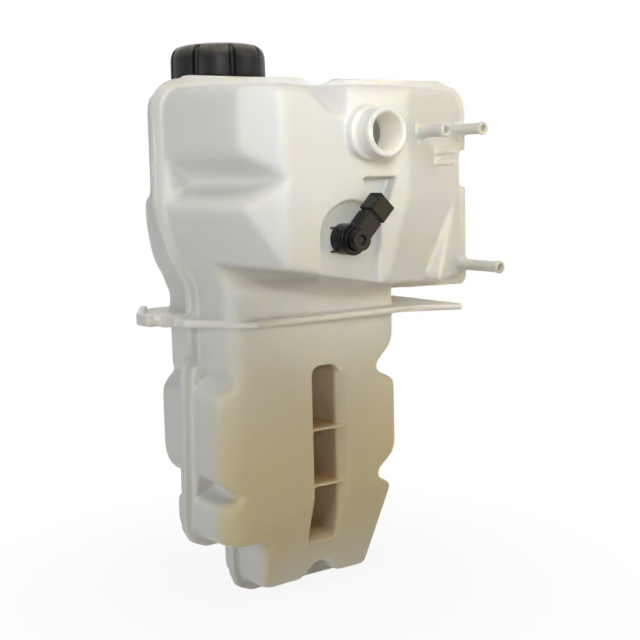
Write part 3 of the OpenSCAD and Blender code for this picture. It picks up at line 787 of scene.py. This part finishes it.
def stage_floor():
    size, low = 6.0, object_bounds()[0].z - 0.002
    mesh = bpy.data.meshes.new("floor")
    mesh.from_pydata([(-size, -size, low), (size, -size, low), (size, size, low), (-size, size, low)],
                     [], [(0, 1, 2, 3)])
    piece = bpy.data.objects.new("floor", mesh)
    scene.collection.objects.link(piece)
    mesh.materials.append(floor_material())
    return piece


def soft_light(name, place, target, size, power, color, spread=180):
    data = bpy.data.lights.new(name, "AREA")
    data.spread = math.radians(spread)
    data.shape = "DISK"
    data.size = size
    data.energy = power
    data.color = color
    lamp = bpy.data.objects.new(name, data)
    lamp.location = place
    lamp.rotation_euler = (Vector(target) - Vector(place)).to_track_quat("-Z", "Y").to_euler()
    scene.collection.objects.link(lamp)
    return lamp


stage_floor()
world = bpy.data.worlds.new("room")
world.use_nodes = True
tree = world.node_tree
lit = tree.nodes["Background"]
lit.inputs["Color"].default_value = (1.0, 0.92, 0.78, 1)
lit.inputs["Strength"].default_value = 0.03
seen = tree.nodes.new("ShaderNodeBackground")
seen.inputs["Color"].default_value = (1.0, 1.0, 1.0, 1)
seen.inputs["Strength"].default_value = 1.0
path = tree.nodes.new("ShaderNodeLightPath")
first_look = tree.nodes.new("ShaderNodeMath")
first_look.operation = "MAXIMUM"
any_look = tree.nodes.new("ShaderNodeMath")
any_look.operation = "MAXIMUM"
choice = tree.nodes.new("ShaderNodeMixShader")
tree.links.new(path.outputs["Is Camera Ray"], first_look.inputs[0])
tree.links.new(path.outputs["Is Glossy Ray"], first_look.inputs[1])
tree.links.new(first_look.outputs[0], any_look.inputs[0])
tree.links.new(path.outputs["Is Transmission Ray"], any_look.inputs[1])
tree.links.new(any_look.outputs[0], choice.inputs["Fac"])
tree.links.new(lit.outputs[0], choice.inputs[1])
tree.links.new(seen.outputs[0], choice.inputs[2])
tree.links.new(choice.outputs[0], tree.nodes["World Output"].inputs["Surface"])
scene.world = world
soft_light("high", (-0.35, -0.85, 1.45), (0, -0.05, 0.05), 0.5, 8.0, (1.0, 0.96, 0.88))
soft_light("head", (-0.60, -1.30, 0.50), (0.03, -0.1, 0.18), 0.3, 0.18, (0.97, 1.0, 1.0), 19)
soft_light("left", (-1.50, -0.30, 0.20), (0, 0, -0.05), 0.8, 5.8, (0.94, 0.98, 1.0))
soft_light("low", (0.90, -1.30, -0.10), (0, 0, -0.15), 0.7, 3.6, (1.0, 0.79, 0.44))
soft_light("right", (1.00, -1.00, 0.60), (0.15, 0, 0.16), 0.4, 0.16, (1.0, 0.92, 0.74), 24)
soft_light("back", (0.60, 1.60, 0.90), (0.05, 0.1, 0.0), 0.9, 3.0, (1.0, 0.97, 0.92))
scene.view_settings.view_transform = "Standard"

# %% [markdown]
# ## Camera
# The photograph was taken from the left front, a little above the plate. The camera stands at
# the place that its perspective gives.

# %%
# Camera
def look(azimuth, pitch, roll):
    a, e, r = map(math.radians, (azimuth, pitch, roll))
    forward = Vector((math.sin(a) * math.cos(e), math.cos(a) * math.cos(e), -math.sin(e)))
    side = Vector((math.cos(a), -math.sin(a), 0))
    up = side.cross(forward)
    right = math.cos(r) * side + math.sin(r) * up
    top = -math.sin(r) * side + math.cos(r) * up
    return right, top, -forward


camera_data = bpy.data.cameras.new("camera")
camera_data.lens = 67.5
camera_data.sensor_width = 36
camera = bpy.data.objects.new("camera", camera_data)
scene.collection.objects.link(camera)
right, top, back_way = look(35.3, 7.4, -1.44)
camera.matrix_world = Matrix(((right[0], top[0], back_way[0], -0.6488),
                             (right[1], top[1], back_way[1], -0.9852),
                             (right[2], top[2], back_way[2], 0.1466),
                             (0, 0, 0, 1)))
scene.camera = camera
